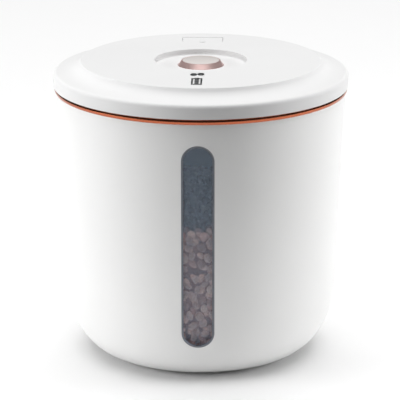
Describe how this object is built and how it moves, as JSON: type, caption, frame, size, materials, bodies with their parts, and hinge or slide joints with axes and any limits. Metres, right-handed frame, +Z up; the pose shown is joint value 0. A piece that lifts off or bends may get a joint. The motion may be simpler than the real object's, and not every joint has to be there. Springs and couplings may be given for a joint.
{
  "type": "sealed dry pet food container",
  "caption": "Round lidded drum that keeps dry pet food under vacuum, with a front sight window, a metallic trim line and a central release button.",
  "frame": {"origin": "centre of the base, on the surface that the container stands on", "axes": "+Z up along the drum's axis, -Y towards the front with the sight window, +X to the right seen from the front"},
  "size_m": [0.28, 0.28, 0.2835],
  "materials": {
    "white_shell": "satin",
    "white_lid": "satin",
    "button_white": "gloss",
    "bin_plastic": "gloss",
    "smoke_lens": "gloss",
    "copper_trim": "polished",
    "lid_underside": "satin",
    "silicone": "matte",
    "grey_rubber": "matte",
    "screw_steel": "satin",
    "spring_steel": "polished",
    "motor_steel": "satin",
    "rotor_iron": "satin",
    "crank_brass": "satin",
    "inner_plastic": "matte",
    "board_green": "satin",
    "dark_marks": "satin",
    "cell_wrap": "satin",
    "filter_foam": "matte",
    "kibble": "matte"
  },
  "bodies": {
    "container": {"outer_shell": "white_shell", "inner_bin": "bin_plastic", "window_lens": "smoke_lens", "window_gasket": "grey_rubber", "feet": "grey_rubber", "bin_screws": "screw_steel", "kibble_fill": "kibble"},
    "lid": {"lid_top_shell": "white_lid", "trim_ring": "copper_trim", "lid_inner_cover": "lid_underside", "lid_seal": "silicone", "lid_screws": "screw_steel", "valve_seat": "inner_plastic", "circuit_board": "board_green", "board_screws": "screw_steel", "press_switch": "inner_plastic", "status_marks": "dark_marks", "battery_cells": "cell_wrap", "battery_holder": "inner_plastic", "port_board": "board_green", "charge_port": "screw_steel", "port_pin": "screw_steel", "motor_can": "motor_steel", "pump_housing": "inner_plastic", "pump_diaphragm": "grey_rubber", "pump_head": "inner_plastic", "pump_mounts": "grey_rubber", "pump_strap": "motor_steel", "check_valve": "inner_plastic", "air_hose": "silicone", "filter_grille": "lid_underside", "filter_pad": "filter_foam", "button_spring": "spring_steel", "valve_spring": "spring_steel"},
    "button": {"button_cap": "button_white", "button_ring": "copper_trim", "button_stem": "inner_plastic"},
    "valve": {"valve_poppet": "inner_plastic", "valve_washer": "silicone", "valve_clip": "spring_steel"},
    "pump_rotor": {"motor_rotor": "rotor_iron", "motor_shaft": "screw_steel", "pump_crank": "crank_brass"},
    "cover_flap": {"port_cover": "white_lid"}
  },
  "joints": [
    {"name": "lid_lift", "type": "slide", "parent": "container", "child": "lid", "axis": [0, 0, 1], "range_m": [0, 0.08]},
    {"name": "button_press", "type": "slide", "parent": "lid", "child": "button", "axis": [0, 0, -1], "range_m": [0, 0.003], "stiffness_N_per_m": 600, "springref_m": -0.002, "deforming": ["button_spring"]},
    {"name": "valve_open", "type": "slide", "parent": "lid", "child": "valve", "axis": [0, 0, -1], "range_m": [0, 0.003], "stiffness_N_per_m": 150, "springref_m": -0.004, "deforming": ["valve_spring"]},
    {"name": "cover_open", "type": "hinge", "parent": "lid", "child": "cover_flap", "pos_m": [0, 0.0942, 0.2822], "axis": [-1, 0, 0], "range_deg": [0, 95]},
    {"name": "pump_turn", "type": "hinge", "parent": "lid", "child": "pump_rotor", "pos_m": [0.064, 0, 0.261], "axis": [0, 1, 0], "continuous": true}
  ],
  "couplings": [
    {"joint": "valve_open", "follows": "button_press", "ratio": 1}
  ]
}
